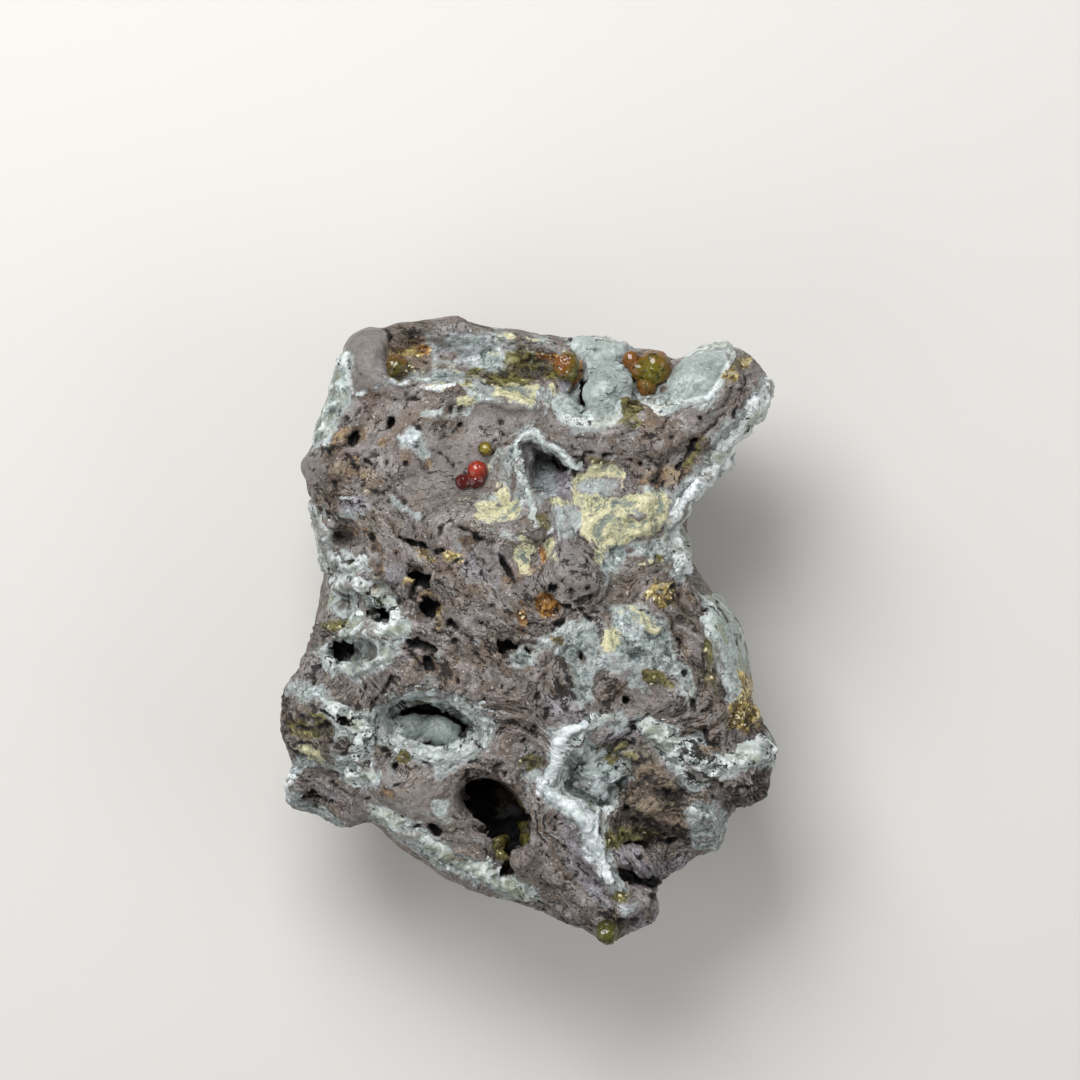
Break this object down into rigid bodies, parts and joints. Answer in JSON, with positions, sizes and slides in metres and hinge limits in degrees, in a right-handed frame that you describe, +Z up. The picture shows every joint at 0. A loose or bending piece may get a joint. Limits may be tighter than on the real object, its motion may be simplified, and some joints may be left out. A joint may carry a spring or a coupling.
{
  "type": "botryoidal hematite",
  "caption": "Rough mineral specimen on a flat broken back: porous mauve-grey iron-rich matrix with pale botryoidal crusts in its hollows and glossy beads.",
  "frame": {"origin": "middle of the specimen's box, on the surface that its flat back rests on", "axes": "+Z up out of the decorated face, +Y along the length to the edge with the amber beads, +X across the face to the edge with the right flank crust"},
  "size_m": [0.0648, 0.0822, 0.0363],
  "materials": {
    "matrix": "porous, dull, flow-lined",
    "crust": "pale, botryoidal, sugary",
    "white_crust": "white, sugary",
    "amber": "glossy, see-through amber to olive",
    "olive": "glossy, see-through olive",
    "red": "glossy red",
    "yellow": "glossy yellow"
  },
  "bodies": {
    "root": {"matrix": "matrix", "upper_crust": "crust", "arch_crust": "crust", "arm_edge_crust": "crust", "left_edge_crust": "crust", "left_pocket_crust": "crust", "oval_pocket_crust": "crust", "lower_left_crust": "crust", "white_pocket_crust": "white_crust", "right_flank_crust": "crust", "lower_right_crust": "crust", "bottom_crust": "crust", "amber_beads": "amber", "amber_drop": "amber", "olive_bead": "olive", "red_beads": "red", "yellow_bead": "yellow", "tip_bead": "olive"}
  },
  "joints": []
}
